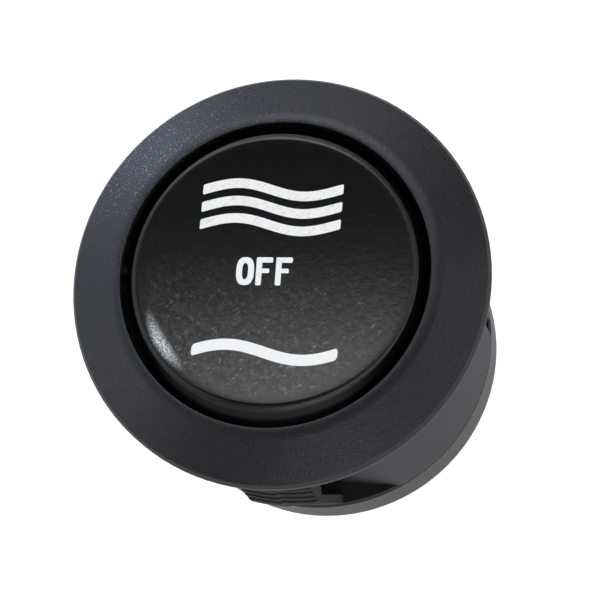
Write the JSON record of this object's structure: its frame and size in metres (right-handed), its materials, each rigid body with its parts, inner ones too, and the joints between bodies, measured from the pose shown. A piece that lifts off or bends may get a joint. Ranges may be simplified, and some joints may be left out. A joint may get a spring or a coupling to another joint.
{
  "type": "round rocker switch",
  "caption": "Round snap-in panel rocker switch: concave cap in a sloped bezel, centre-off detent, spring plunger, see-saw contact arm and blade terminals.",
  "frame": {"origin": "centre of the bezel's back face, on the axis of the barrel, where the switch lies on its panel", "axes": "+Z out of the panel through the rocker, +X along the rocker's pivot, +Y to the end of the rocker with the stacked wavy bars"},
  "size_m": [0.023, 0.023, 0.0253],
  "materials": {
    "black_nylon": "fine-grained charcoal black moulding",
    "black_nylon_base": "plain black moulding",
    "black_rocker": "satin black moulding with a white printed legend",
    "white_nylon": "natural white",
    "spring_steel": "drawn wire",
    "copper_strip": "rolled copper alloy strip",
    "silver_contact": "silver tip",
    "plated_brass": "tin-plated brass"
  },
  "bodies": {
    "housing": {"housing": "black_nylon", "base_cap": "black_nylon_base", "terminal_common": "plated_brass", "terminal_high": "plated_brass", "terminal_low": "plated_brass", "fixed_contact_high": "silver_contact", "fixed_contact_low": "silver_contact"},
    "rocker": {"rocker": "black_rocker", "plunger_spring": "spring_steel"},
    "plunger": {"plunger": "white_nylon"},
    "contact_arm": {"contact_arm": "copper_strip", "moving_contact_high": "silver_contact", "moving_contact_low": "silver_contact"}
  },
  "joints": [
    {"name": "rocker_tilt", "type": "hinge", "parent": "housing", "child": "rocker", "pos_m": [0, 0, -0.001], "axis": [1, 0, 0], "range_deg": [-9, 9]},
    {"name": "arm_tilt", "type": "hinge", "parent": "housing", "child": "contact_arm", "pos_m": [0, 0, -0.0102], "axis": [1, 0, 0], "range_deg": [-9, 9]},
    {"name": "plunger_slide", "type": "slide", "parent": "rocker", "child": "plunger", "axis": [0, 0, 1], "range_m": [0, 0.0005], "stiffness_N_per_m": 300, "springref_m": -0.002, "deforming": ["plunger_spring"]}
  ],
  "couplings": [
    {"joint": "arm_tilt", "follows": "rocker_tilt", "ratio": -1}
  ]
}
